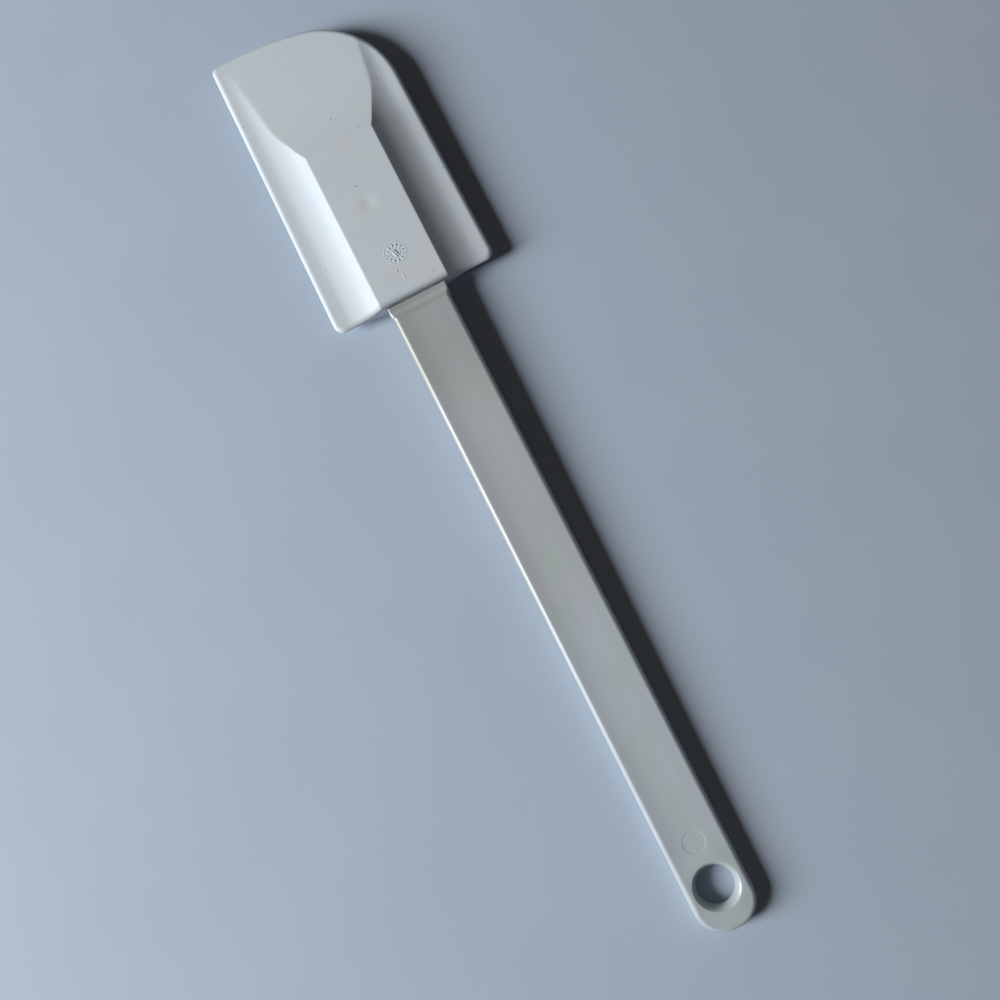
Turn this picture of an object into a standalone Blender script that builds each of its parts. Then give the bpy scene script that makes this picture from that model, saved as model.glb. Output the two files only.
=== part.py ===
"""Rubber spatula: a flat plastic handle whose tang carries a soft elastomer blade.

Both pieces are drawn in the spatula's own frame: +X from the handle's free end to the blade's tip,
+Y to the side of the blade's square corner, +Z up from the plane half way through the thickness.
An empty then lays them on a table the way the real one rests: on the core of the blade and on the
handle's free end, with the neck raised.
"""

import math

import bmesh
import bpy
from mathutils import Vector
from mathutils.geometry import delaunay_2d_cdt

MM = 0.001

# Overall sizes, in millimetres
LENGTH = 343.0
BLADE_LENGTH = 106.6
BLADE_START = LENGTH - BLADE_LENGTH
FIT_GAP = 0.3

# Handle
HANDLE_WIDTH = 21.6
HANDLE_THICKNESS = 6.0
HANDLE_EDGE_RADIUS = 1.7
HANDLE_END_RADIUS = 9.9
HOLE_FROM_END = 15.2
HOLE_DIAMETER = 13.0
HOLE_WALL_CURVE = 3.65
NECK_END_X = BLADE_START - FIT_GAP
FLARE_START_X = NECK_END_X - 4.8
FLARE_STEP_LENGTH = 1.6
FLARE_GROWTH = 0.45
FLARE_EDGE_LENGTH = 3.8
FLARE_EDGE_RADIUS = 0.65
TANG_LENGTH = 52.0
TANG_WIDTH = 17.0
TANG_THICKNESS = 4.4
TANG_EDGE_RADIUS = 1.0
TANG_NOSE_TAPER = 1.5
TANG_NOSE_LENGTH = 5.0

# Blade seen from above
BLADE_END_HALF_WIDTH = 30.6
BLADE_SIDE_TAPER = math.radians(0.85)
BLADE_END_CORNER_RADIUS = 3.3
TIP_CURVE_RADIUS = 114.0
TIP_CURVE_TOP_Y = 20.0
TIP_CURVE_TURN = math.radians(13.0)
TIP_SQUARE_CORNER_RADIUS = 2.0

# Blade seen in section: each arc of the cove has a radius and the slope that it turns to
CORE_HALF_THICKNESS = 6.0
WING_HALF_THICKNESS = 1.2
COVE_FOOT_Y = 25.67
COVE_ARCS = ((14.6, math.radians(11.3)), (27.9, math.radians(22.2)), (14.7, math.radians(34.2)))
RAMP_START = BLADE_START + 59.3
RAMP_STEEPEST = math.radians(20.8)
RAMP_RADIUS = 59.6
RAMP_TIP_SLOPE = math.radians(2.3)
EDGE_RADIUS = 2.0
EDGE_WALL = 0.35
SOCKET_SPARE_DEPTH = 1.0

# Fineness of the faceted curves
EDGE_STEPS = 4
CORNER_STEPS = 4
CORE_STEPS = 4
RAMP_STEPS = 10
TIP_STEPS = 6
COVE_ARC_STEPS = 4
FLARE_STEPS = 8
HOLE_SEGMENTS = 64
HOLE_WALL_STEPS = 4
ARC_STEP = math.radians(6.0)
SMALL_ARC_STEP = math.radians(11.0)
LARGE_ARC_STEP = math.radians(1.8)
SHARP_ANGLE = math.radians(28.0)

# How far joined forms run into each other, and cutters past the face they cut
JOIN_OVERLAP = 6.0
CUT_MARGIN = 1.0

# Precision of the plan's triangles and of the search for a crease
PLAN_TOLERANCE = 0.001
SEARCH_HALVINGS = 40


def clear_scene():
    for thing in list(bpy.data.objects):
        bpy.data.objects.remove(thing)


def make_material(name, colour, roughness):
    material = bpy.data.materials.new(name)
    material.use_nodes = True
    shader = material.node_tree.nodes["Principled BSDF"]
    shader.inputs["Base Color"].default_value = (*colour, 1.0)
    shader.inputs["Roughness"].default_value = roughness
    shader.inputs["Metallic"].default_value = 0.0
    return material


def add_object(name, bm, material):
    """Turn a bmesh drawn in millimetres into an object in metres."""
    bmesh.ops.scale(bm, vec=(MM, MM, MM), verts=bm.verts)
    bmesh.ops.recalc_face_normals(bm, faces=bm.faces)
    mesh = bpy.data.meshes.new(name)
    bm.to_mesh(mesh)
    bm.free()
    mesh.materials.append(material)
    mesh.shade_smooth()
    mesh.set_sharp_from_angle(angle=SHARP_ANGLE)
    piece = bpy.data.objects.new(name, mesh)
    bpy.context.collection.objects.link(piece)
    return piece


def add_cutter(name, bm, material):
    cutter = add_object(name, bm, material)
    cutter.hide_render = True
    cutter.display_type = "WIRE"
    return cutter


def add_boolean(piece, other, operation):
    modifier = piece.modifiers.new(f"{operation.lower()}_{other.name}", "BOOLEAN")
    modifier.operation = operation
    modifier.solver = "EXACT"
    modifier.object = other


def unit(angle):
    return Vector((math.cos(angle), math.sin(angle)))


def arc(centre, radius, start, end, step):
    """Points along an outward-curving arc, each with its outward normal."""
    count = max(2, math.ceil(abs(end - start) / step))
    angles = [start + (end - start) * k / count for k in range(count + 1)]
    return [(centre + radius * unit(a), unit(a)) for a in angles]


def bridge_rings(bm, rings):
    for low, high in zip(rings, rings[1:]):
        for k in range(len(low)):
            n = (k + 1) % len(low)
            bm.faces.new((low[k], low[n], high[n], high[k]))


def rounded_slab(outline, half_thickness):
    """A flat slab with this outline, rounded at each of its points with that point's own radius."""
    bm = bmesh.new()
    rings = []
    turns = [math.pi / 2 * k / EDGE_STEPS for k in range(EDGE_STEPS + 1)]
    for side in (-1, 1):
        for turn in (reversed(turns) if side < 0 else turns):
            ring = []
            for point, normal, radius in outline:
                place = point - radius * (1 - math.cos(turn)) * normal
                z = side * (half_thickness - radius * (1 - math.sin(turn)))
                ring.append(bm.verts.new((*place, z)))
            rings.append(ring)
    bridge_rings(bm, rings)
    bm.faces.new(list(reversed(rings[0])))
    bm.faces.new(rings[-1])
    return bm


def bar(stations, corner_radius):
    """A bar along X through (x, half_width, half_thickness) stations, with rounded long edges."""
    bm = bmesh.new()
    rings = []
    for x, half_width, half_thickness in stations:
        ring = []
        for quarter in range(4):
            middle = math.pi / 2 * quarter + math.pi / 4
            centre = Vector((
                math.copysign(half_width - corner_radius, math.cos(middle)),
                math.copysign(half_thickness - corner_radius, math.sin(middle)),
            ))
            for k in range(CORNER_STEPS + 1):
                point = centre + corner_radius * unit(math.pi / 2 * (quarter + k / CORNER_STEPS))
                ring.append(bm.verts.new((x, point.x, point.y)))
        rings.append(ring)
    bridge_rings(bm, rings)
    bm.faces.new(list(reversed(rings[0])))
    bm.faces.new(rings[-1])
    return bm


def turned(profile, centre_x, segments):
    """A closed solid turned about a vertical axis at centre_x from (radius, z) points, bottom first."""
    bm = bmesh.new()
    rings = []
    for radius, z in profile:
        angles = [2 * math.pi * k / segments for k in range(segments)]
        rings.append([
            bm.verts.new((centre_x + radius * math.cos(a), radius * math.sin(a), z)) for a in angles
        ])
    bridge_rings(bm, rings)
    bm.faces.new(list(reversed(rings[0])))
    bm.faces.new(rings[-1])
    return bm


def flare(x, length):
    """Share, smooth from 0 to 1, of a change in the handle's edge that takes this length near the neck."""
    share = max(0.0, min(1.0, (x - FLARE_START_X) / length))
    return share ** 2 * (3 - 2 * share)


def grip_side():
    """The exposed handle's +Y side from the neck to the free end: points, normals and edge radii."""
    half = HANDLE_WIDTH / 2
    side = []
    for k in range(FLARE_STEPS + 1):
        x = NECK_END_X + (FLARE_START_X - NECK_END_X) * k / FLARE_STEPS
        y = half + FLARE_GROWTH * flare(x, FLARE_STEP_LENGTH)
        fade = flare(x, FLARE_EDGE_LENGTH)
        radius = HANDLE_EDGE_RADIUS + (FLARE_EDGE_RADIUS - HANDLE_EDGE_RADIUS) * fade
        side.append((Vector((x, y)), Vector((0, 1)), radius))
    end_centre = Vector((HANDLE_END_RADIUS, half - HANDLE_END_RADIUS))
    end = arc(end_centre, HANDLE_END_RADIUS, math.pi / 2, math.pi, ARC_STEP)
    return side + [(point, normal, HANDLE_EDGE_RADIUS) for point, normal in end]


def grip_outline():
    """The exposed handle from above, round at its free end and flared where it meets the blade."""
    side = grip_side()
    mirror = Vector((1, -1))
    return side + [(point * mirror, normal * mirror, radius) for point, normal, radius in reversed(side)]


def hole_profile():
    """Half section of the hanging hole: its curved wall opens from half way down to past each face."""
    face_turn = math.asin(HANDLE_THICKNESS / 2 / HOLE_WALL_CURVE)
    upper = []
    for k in range(1, HOLE_WALL_STEPS + 1):
        turn = face_turn * k / HOLE_WALL_STEPS
        radius = HOLE_DIAMETER / 2 + HOLE_WALL_CURVE * (1 - math.cos(turn))
        upper.append((radius, HOLE_WALL_CURVE * math.sin(turn)))
    (inner, low), (outer, high) = upper[-2:]
    upper.append((outer + CUT_MARGIN * (outer - inner) / (high - low), high + CUT_MARGIN))
    return [(radius, -z) for radius, z in reversed(upper)] + [(HOLE_DIAMETER / 2, 0.0)] + upper


def make_handle(material):
    """Grip and tang in one moulding, with the hanging hole cut through."""
    handle = add_object("handle", rounded_slab(grip_outline(), HANDLE_THICKNESS / 2), material)

    tang_half = TANG_WIDTH / 2
    tang_face = TANG_THICKNESS / 2
    tang_end = BLADE_START + TANG_LENGTH
    tang_stations = [
        (NECK_END_X - JOIN_OVERLAP, tang_half, tang_face),
        (tang_end - TANG_NOSE_LENGTH, tang_half, tang_face),
        (tang_end, tang_half - TANG_NOSE_TAPER, tang_face - TANG_NOSE_TAPER / 2),
    ]
    tang = add_cutter("tang_form", bar(tang_stations, TANG_EDGE_RADIUS), material)

    hole = add_cutter("hole_form", turned(hole_profile(), HOLE_FROM_END, HOLE_SEGMENTS), material)
    add_boolean(handle, tang, "UNION")
    add_boolean(handle, hole, "DIFFERENCE")
    return handle, [tang, hole]


def blade_outline():
    """The blade from above: two rounded back corners, a swept tip and one square tip corner."""
    right_normal = Vector((math.sin(BLADE_SIDE_TAPER), -math.cos(BLADE_SIDE_TAPER)))
    left_normal = Vector((math.sin(BLADE_SIDE_TAPER), math.cos(BLADE_SIDE_TAPER)))
    right_angle = -math.pi / 2 + BLADE_SIDE_TAPER
    left_angle = math.pi / 2 - BLADE_SIDE_TAPER
    side_offset = left_normal.dot(Vector((BLADE_START, BLADE_END_HALF_WIDTH)))

    tip_centre = Vector((LENGTH - TIP_CURVE_RADIUS, TIP_CURVE_TOP_Y))
    turn_normal = unit(-TIP_CURVE_TURN)
    across = right_normal.dot(turn_normal)
    reach = side_offset - right_normal.dot(tip_centre) - TIP_CURVE_RADIUS * across
    sweep_radius = reach / (1 - across)
    sweep_centre = tip_centre + (TIP_CURVE_RADIUS - sweep_radius) * turn_normal

    corner_radius = TIP_SQUARE_CORNER_RADIUS
    spare = side_offset - corner_radius - left_normal.dot(tip_centre)
    corner_angle = left_angle - math.acos(spare / (TIP_CURVE_RADIUS - corner_radius))
    corner_centre = tip_centre + (TIP_CURVE_RADIUS - corner_radius) * unit(corner_angle)

    back_radius = BLADE_END_CORNER_RADIUS
    back_x = BLADE_START + back_radius
    back_y = (side_offset - back_radius - left_normal.x * back_x) / left_normal.y
    outline = arc(Vector((back_x, -back_y)), back_radius, -math.pi, right_angle, SMALL_ARC_STEP)
    outline += arc(sweep_centre, sweep_radius, right_angle, -TIP_CURVE_TURN, ARC_STEP)
    outline += arc(tip_centre, TIP_CURVE_RADIUS, -TIP_CURVE_TURN, corner_angle, LARGE_ARC_STEP)[1:]
    outline += arc(corner_centre, corner_radius, corner_angle, left_angle, SMALL_ARC_STEP)[1:]
    outline += arc(Vector((back_x, back_y)), back_radius, left_angle, math.pi, SMALL_ARC_STEP)
    return outline


def cove_height(y):
    """Half thickness of the cove at this place: arcs that steepen from its foot, then a straight face."""
    inward = max(COVE_FOOT_Y - abs(y), 0.0)
    height = WING_HALF_THICKNESS
    start = 0.0
    start_sine = 0.0
    for radius, turn in COVE_ARCS:
        width = radius * (math.sin(turn) - start_sine)
        sine = start_sine + min(max(inward - start, 0.0), width) / radius
        height += radius * (math.sqrt(1 - start_sine ** 2) - math.sqrt(1 - sine ** 2))
        start += width
        start_sine = math.sin(turn)
    return height + math.tan(turn) * max(inward - start, 0.0)


def ramp_drop(slope):
    """(distance past the ramp's start, drop below the core) where the scooped ramp has this slope."""
    along = RAMP_RADIUS * (math.sin(RAMP_STEEPEST) - math.sin(slope))
    drop = RAMP_RADIUS * (math.cos(slope) - math.cos(RAMP_STEEPEST))
    return along, drop


def core_height(x):
    """Half thickness of the core and of the ramp that falls away to the tip."""
    along = x - RAMP_START
    if along <= 0:
        return CORE_HALF_THICKNESS
    scoop, drop = ramp_drop(RAMP_TIP_SLOPE)
    if along <= scoop:
        slope = math.asin(math.sin(RAMP_STEEPEST) - along / RAMP_RADIUS)
        return CORE_HALF_THICKNESS - ramp_drop(slope)[1]
    return CORE_HALF_THICKNESS - drop - math.tan(RAMP_TIP_SLOPE) * (along - scoop)


def base_height(x, y):
    return min(core_height(x), cove_height(y))


def roll_reach(height):
    """How far in from the rim its rounding reaches: on the thin wings it stops at a small wall."""
    drop = min(height - EDGE_WALL, EDGE_RADIUS)
    return math.sqrt(EDGE_RADIUS ** 2 - (EDGE_RADIUS - drop) ** 2)


def distance_inside(point, outline):
    """Distance from a point to the closed outline."""
    nearest = math.inf
    for (a, _), (b, _) in zip(outline, outline[1:] + outline[:1]):
        along = b - a
        share = max(0.0, min(1.0, (point - a).dot(along) / along.length_squared))
        nearest = min(nearest, (point - a - share * along).length)
    return nearest


def is_inside(point, outline):
    """Whether a point lies inside the convex, anticlockwise outline."""
    return all(
        (b - a).cross(point - a) > 0
        for (a, _), (b, _) in zip(outline, outline[1:] + outline[:1])
    )


def blade_height(point, outline):
    """Half thickness of the finished blade, with its rounded outer edge."""
    height = base_height(point.x, point.y)
    inner = roll_reach(height) - distance_inside(point, outline)
    if inner <= 0:
        return height
    return height - EDGE_RADIUS + math.sqrt(EDGE_RADIUS ** 2 - inner ** 2)


def falling_zero(function, low, high):
    """Where a falling function reaches zero between low and high, or high if it stays above zero."""
    for _ in range(SEARCH_HALVINGS):
        middle = (low + high) / 2
        if function(middle) > 0:
            low = middle
        else:
            high = middle
    return low


def crease_y(x):
    """Where the core or the ramp meets the cove, measured from the centre line."""
    return falling_zero(lambda y: cove_height(y) - core_height(x), 0.0, COVE_FOOT_Y)


def crease_x(y):
    """Where the ramp has come down to the cove's height at this distance from the centre line."""
    return falling_zero(lambda x: core_height(x) - cove_height(y), RAMP_START, LENGTH)


def edge_lines(outline):
    """Lines round the rim, one at each step of the rounded edge."""
    lines = []
    for k in range(EDGE_STEPS):
        ring = []
        for point, normal in outline:
            inside = point - EDGE_RADIUS * normal
            reach = roll_reach(base_height(inside.x, inside.y))
            turn = math.asin(reach / EDGE_RADIUS) * k / EDGE_STEPS
            ring.append(point - (reach - EDGE_RADIUS * math.sin(turn)) * normal)
        lines.append(ring + ring[:1])
    return lines


def ramp_stations():
    """Places along the ramp and the tip where the plan is divided crosswise."""
    scoop = ramp_drop(RAMP_TIP_SLOPE)[0]
    scoop_end = RAMP_START + scoop
    stations = [RAMP_START + scoop * k / RAMP_STEPS for k in range(RAMP_STEPS + 1)]
    stations += [scoop_end + (LENGTH - scoop_end) * k / TIP_STEPS for k in range(1, TIP_STEPS)]
    return stations


def cove_places():
    """Distances from the centre line at which the cove is divided lengthwise, from its foot inwards."""
    places = []
    y = COVE_FOOT_Y
    start_sine = 0.0
    for radius, turn in COVE_ARCS:
        width = radius * (math.sin(turn) - start_sine)
        places += [y - width * k / COVE_ARC_STEPS for k in range(COVE_ARC_STEPS)]
        y -= width
        start_sine = math.sin(turn)
    return places + [y]


def blade_feature_lines(outline):
    """Lines that the faces of the blade follow, as lists of points seen from above."""
    lines = edge_lines(outline)
    for k in range(1, CORE_STEPS):
        x = BLADE_START + (RAMP_START - BLADE_START) * k / CORE_STEPS
        lines.append([Vector((x, -BLADE_END_HALF_WIDTH)), Vector((x, BLADE_END_HALF_WIDTH))])
    stations = ramp_stations()
    for x in stations:
        lines.append([Vector((x, -crease_y(x))), Vector((x, crease_y(x)))])
    for side in (-1, 1):
        crease = [Vector((BLADE_START, side * crease_y(BLADE_START)))]
        crease += [Vector((x, side * crease_y(x))) for x in stations]
        lines.append(crease)
        for y in cove_places():
            lines.append([Vector((BLADE_START, side * y)), Vector((crease_x(y), side * y))])
    return lines


def blade_plan(outline):
    """Triangles over the outline whose edges follow every feature line."""
    points = [point for point, _ in outline]
    edges = [(k, (k + 1) % len(points)) for k in range(len(points))]
    for line in blade_feature_lines(outline):
        first = len(points)
        points += line
        edges += [(k, k + 1) for k in range(first, len(points) - 1)]
    whole_outline = [list(range(len(outline)))]
    inside_outline = 1
    result = delaunay_2d_cdt(points, edges, whole_outline, inside_outline, PLAN_TOLERANCE)
    return result[0], result[2]


def blade_solid():
    """Two mirror-image faces over one plan, joined by a strip round the outline."""
    outline = blade_outline()
    points, triangles = blade_plan(outline)
    middles = [sum((points[k] for k in triangle), Vector((0, 0))) / 3 for triangle in triangles]
    inner = [t for t, middle in zip(triangles, middles) if is_inside(middle, outline)]
    bm = bmesh.new()
    heights = [blade_height(point, outline) for point in points]
    top = [bm.verts.new((*point, height)) for point, height in zip(points, heights)]
    bottom = [bm.verts.new((*point, -height)) for point, height in zip(points, heights)]
    for triangle in inner:
        bm.faces.new([top[k] for k in triangle])
        bm.faces.new([bottom[k] for k in reversed(triangle)])
    partner = dict(zip(top, bottom))
    rim = [edge for edge in bm.edges if edge.is_boundary and edge.verts[0] in partner]
    for edge in rim:
        a, b = edge.verts
        bm.faces.new((a, b, partner[b], partner[a]))
    loose = [vert for vert in bm.verts if not vert.link_faces]
    bmesh.ops.delete(bm, geom=loose, context="VERTS")
    return bm


def make_blade(material):
    """The elastomer blade with its blind socket."""
    blade = add_object("blade", blade_solid(), material)
    half_width = TANG_WIDTH / 2 + FIT_GAP
    half_height = TANG_THICKNESS / 2 + FIT_GAP
    socket_end = BLADE_START + TANG_LENGTH + SOCKET_SPARE_DEPTH
    stations = [
        (BLADE_START - CUT_MARGIN, half_width, half_height),
        (socket_end, half_width, half_height),
    ]
    socket = add_cutter("socket_form", bar(stations, TANG_EDGE_RADIUS), material)
    add_boolean(blade, socket, "DIFFERENCE")
    return blade, [socket]


def lay_on_table(pieces):
    """Rest the spatula on its core and its free end, with the middle of its length over the origin."""
    end_contact_x = HANDLE_EDGE_RADIUS
    core_contact_x = BLADE_START + EDGE_RADIUS
    rise = CORE_HALF_THICKNESS - HANDLE_THICKNESS / 2
    tilt = math.atan(rise / (core_contact_x - end_contact_x))
    spatula = bpy.data.objects.new("spatula", None)
    bpy.context.collection.objects.link(spatula)
    spatula.rotation_euler = (0.0, -tilt, 0.0)
    lift = HANDLE_THICKNESS / 2 * math.cos(tilt) - end_contact_x * math.sin(tilt)
    spatula.location = (-LENGTH / 2 * math.cos(tilt) * MM, 0.0, lift * MM)
    for piece in pieces:
        piece.parent = spatula


def main():
    clear_scene()
    hard_white = make_material("handle_plastic", (0.43, 0.48, 0.50), 0.42)
    soft_white = make_material("blade_elastomer", (0.61, 0.68, 0.73), 0.55)
    handle, handle_forms = make_handle(hard_white)
    blade, blade_forms = make_blade(soft_white)
    lay_on_table([handle, blade] + handle_forms + blade_forms)


main()
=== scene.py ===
"""Looks of the rubber spatula: its two mouldings as fine meshes with their finishes, on a plain floor.

Both mouldings are drawn in the spatula's own frame, in millimetres: +X from the handle's free end to
the blade's tip, +Y to the side of the blade's square corner, +Z up from the plane half way through the
thickness. Each is a plan of triangles lifted to an upper and a lower face, with a wall round its rim.
"""

import math

import bmesh
import bpy
import numpy as np
from mathutils import Matrix, Vector
from mathutils.geometry import delaunay_2d_cdt


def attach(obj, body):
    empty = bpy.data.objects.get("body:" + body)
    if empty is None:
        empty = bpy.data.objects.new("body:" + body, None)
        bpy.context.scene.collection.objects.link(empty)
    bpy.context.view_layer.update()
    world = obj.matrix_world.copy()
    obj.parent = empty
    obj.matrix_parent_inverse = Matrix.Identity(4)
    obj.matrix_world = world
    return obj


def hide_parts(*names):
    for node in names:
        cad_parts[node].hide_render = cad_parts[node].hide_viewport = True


MM = 0.001

# Overall sizes, in millimetres
LENGTH = 343.0
BLADE_LENGTH = 106.6
BLADE_START = LENGTH - BLADE_LENGTH
FIT_GAP = 0.3

# Handle
HANDLE_HALF_WIDTH = 10.8
HANDLE_HALF_THICKNESS = 3.0
HANDLE_EDGE_RADIUS = 1.7
HANDLE_END_RADIUS = 9.9
HANDLE_DISH = 0.36

# Neck, whose edges step out and sharpen just before the blade
NECK_END_X = BLADE_START - FIT_GAP
NECK_END_CHAMFER = 0.1
FLARE_LENGTH = 4.8
FLARE_START_X = NECK_END_X - FLARE_LENGTH
FLARE_STEP_LENGTH = 1.6
FLARE_GROWTH = 0.45
FLARE_EDGE_LENGTH = 3.8
FLARE_EDGE_RADIUS = 0.65

# Tang inside the blade
TANG_LENGTH = 52.0
TANG_END_X = BLADE_START + TANG_LENGTH
TANG_HALF_WIDTH = 8.5
TANG_HALF_THICKNESS = 2.2
TANG_EDGE_RADIUS = 1.0
TANG_NOSE_TAPER = 1.5
TANG_NOSE_LENGTH = 5.0

# Hanging hole: narrowest half way down, with a curved wall that opens to a crisp edge on each face
HOLE_X = 15.2
HOLE_RADIUS = 6.5
HOLE_WALL_CURVE = 3.65
HOLE_EDGE_SOFTNESS = 0.12
HOLE_LAND_WIDTH = 8.0

# Round mark of an ejector pin, sunk in the handle's upper face
PIN_MARK_PLACE = (31.0, 0.1)
PIN_MARK_RADIUS = 3.85
PIN_MARK_DEPTH = 0.09
PIN_MARK_WALL = 0.14

# Blade seen from above
BLADE_END_HALF_WIDTH = 30.6
BLADE_SIDE_TAPER = math.radians(0.85)
BLADE_END_CORNER_RADIUS = 3.3
TIP_CURVE_RADIUS = 114.0
TIP_CURVE_TOP_Y = 20.0
TIP_CURVE_TURN = math.radians(13.0)
TIP_SQUARE_CORNER_RADIUS = 2.0

# Blade seen in section: each arc of the cove has a radius and the slope that it turns to
CORE_HALF_THICKNESS = 6.0
WING_HALF_THICKNESS = 1.2
COVE_FOOT_Y = 25.67
COVE_ARCS = ((14.6, math.radians(11.3)), (27.9, math.radians(22.2)), (14.7, math.radians(34.2)))
CORE_LENGTH = 59.3
RAMP_START = BLADE_START + CORE_LENGTH
RAMP_STEEPEST = math.radians(20.8)
RAMP_RADIUS = 59.6
RAMP_TIP_SLOPE = math.radians(2.3)
BLADE_EDGE_RADIUS = 2.0
EDGE_WALL = 0.35
CREASE_SOFTNESS = 0.2
SOCKET_END_GAP = 1.0
SOCKET_END_X = TANG_END_X + SOCKET_END_GAP
SOCKET_MOUTH_MARGIN = 1.0

# Round date mark and small marks that stand up from the blade's upper face
DATE_MARK_PLACE = (251.4, -0.1)
DATE_RING_RADIUS = 3.85
DATE_RING_RELIEF = 0.07
DATE_TICK_COUNT = 12
DATE_TICK_INNER = 2.45
DATE_TICK_OUTER = 3.15
DATE_TICK_RELIEF = 0.2
DATE_DISC_RADIUS = 1.75
DATE_DISC_RELIEF = 0.08
DATE_POINTER_HALF_LENGTH = 1.2
DATE_POINTER_HALF_GAP = 0.38
DATE_POINTER_TURN = math.radians(18.0)
DATE_POINTER_RELIEF = 0.28
MARK_LINE_HALF_WIDTH = 0.17
MARK_WALL = 0.14
DOT_PLACE = (245.4, 2.2)
DOT_RELIEF = 0.3
SLASH_ENDS = ((244.0, 0.8), (241.8, 0.7))
SLASH_RELIEF = 0.07

# Shallow sink in the blade's upper face
SINK_PLACE = (271.4, 0.4)
SINK_DEPTH = 0.18
SINK_RADIUS = 2.3

# Parting line: a fine ridge half way down every wall
HANDLE_RIDGE = 0.10
BLADE_RIDGE = 0.06
RIDGE_HALF_WIDTH = 0.28
RIDGE_CREST_SHARE = 0.35
RIDGE_SHARE_OF_WALL = 0.6

# Fineness of the meshes, in millimetres and radians
EDGE_STEPS = 8
FLARE_STEPS = 16
HANDLE_SPACING = 1.5
BLADE_SPACING = 1.2
LINE_STEP = 1.2
GUARD_WIDTH = 0.08
GRID_CLEARANCE = 0.5
CIRCLE_SEGMENTS = 96
HOLE_WALL_STEPS = 10
HOLE_EDGE_OFFSETS = (-0.12, -0.06, 0.04, 0.12)
MARK_STEPS = 6
MARK_SEGMENTS = 48
ARC_STEP = math.radians(2.5)
SMALL_ARC_STEP = math.radians(7.5)
LARGE_ARC_STEP = math.radians(0.7)
CREASE_OFFSETS = (-0.55, -0.36, -0.22, -0.1, 0.0, 0.1, 0.22, 0.36, 0.55)
CREASE_TABLE_STEPS = 2000
PLAN_TOLERANCE = 0.0005
TINY = 0.002
LEAST_SQUARED_LENGTH = 1e-12
STEP_WIDTH = 0.02
SHARP_ANGLE = math.radians(38.0)
QUARTER_TURN = math.pi / 2

# Photograph: the camera's place, what it looks at, which way is up and where its view starts, in metres,
# and its lens and sensor in millimetres
CAMERA_PLACE = Vector((-0.042350, 0.000448, 0.343789))
CAMERA_AIM = Vector((-0.010845, 0.006238, 0.0))
CAMERA_UP = Vector((0.88858, -0.45275, 0.07381))
CAMERA_NEAR = 0.01
CAMERA_LENS = 36.0
CAMERA_SENSOR = 36.0

# Light: one soft panel on the +Y side and a dim even fill, with lengths in metres
KEY_ELEVATION = math.radians(28.5)
KEY_HEADING = math.radians(84.0)
KEY_DISTANCE = 1.7
KEY_WIDTH = 0.54
KEY_HEIGHT = 0.88
KEY_POWER = 41.3
FILL_COLOUR = (1.0, 0.76, 0.62)
FILL_STRENGTH = 0.034
BACKDROP_COLOUR = (0.58, 0.62, 0.67)

# Floor, in metres
FLOOR_SIZE = 8.0

# Colours, and pairs of tints that a colour wanders between
# The handle's three colours, from the neck to the hole end, grow lighter and bluer: painted light, for the
# lamp's light falling off along the handle
HANDLE_NECK_COLOUR = (0.356, 0.386, 0.380, 1.0)
HANDLE_MIDDLE_COLOUR = (0.420, 0.456, 0.470, 1.0)
HANDLE_END_COLOUR = (0.450, 0.509, 0.551, 1.0)
HANDLE_TINTS = ((1.030, 0.995, 1.035, 1.0), (0.965, 1.0, 0.955, 1.0))
HANDLE_EDGE_TINT = (0.915, 0.915, 0.915, 1.0)

# Bands of tone across the handle just before the blade, the last one, beside the blade's end, being painted
# shade where the blade stands over the neck: place along X, half width and colour of each band
NECK_TONE_AND_SHADE_BANDS = (
    (231.9, 1.8, (0.290, 0.312, 0.304, 1.0)),
    (233.6, 1.2, (0.372, 0.402, 0.394, 1.0)),
    (235.0, 1.3, (0.285, 0.305, 0.297, 1.0)),
)

BLADE_COLOUR = (0.608, 0.677, 0.733, 1.0)
BLADE_TIP_COLOUR = (0.628, 0.703, 0.766, 1.0)
BLADE_TINTS = ((1.018, 1.0, 0.978, 1.0), (0.985, 1.0, 1.018, 1.0))
BLADE_SMUDGE_COLOUR = (0.580, 0.648, 0.688, 1.0)
SPECK_COLOUR = (0.11, 0.12, 0.12, 1.0)
FLOOR_COLOUR = (0.455, 0.545, 0.66, 1.0)
FLOOR_TONE_COLOUR = (0.44, 0.53, 0.645, 1.0)

# Places along X between which one colour gives way to the next
# The handle's two fades carry its painted light fall-off from the hole end to the neck
HANDLE_NECK_FADE = (214.0, 184.0)
HANDLE_END_FADE = (147.0, 92.0)
BLADE_TIP_FADE = (285.0, 325.0)

# Darker stripe beside each long edge of the handle: distance from the centre line, and half width
HANDLE_EDGE_STRIPE = (8.0, 5.5)

# Noise: the range of its value that each use is spread over
EVEN_RANGE = (0.3, 0.7)
HANDLE_TINT_RANGE = (0.38, 0.62)
BLADE_TINT_RANGE = (0.35, 0.65)
SMUDGE_RANGE = (0.55, 0.8)
RUB_RANGE = (0.35, 0.7)
SCRATCH_RANGE = (0.68, 0.76)

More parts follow.
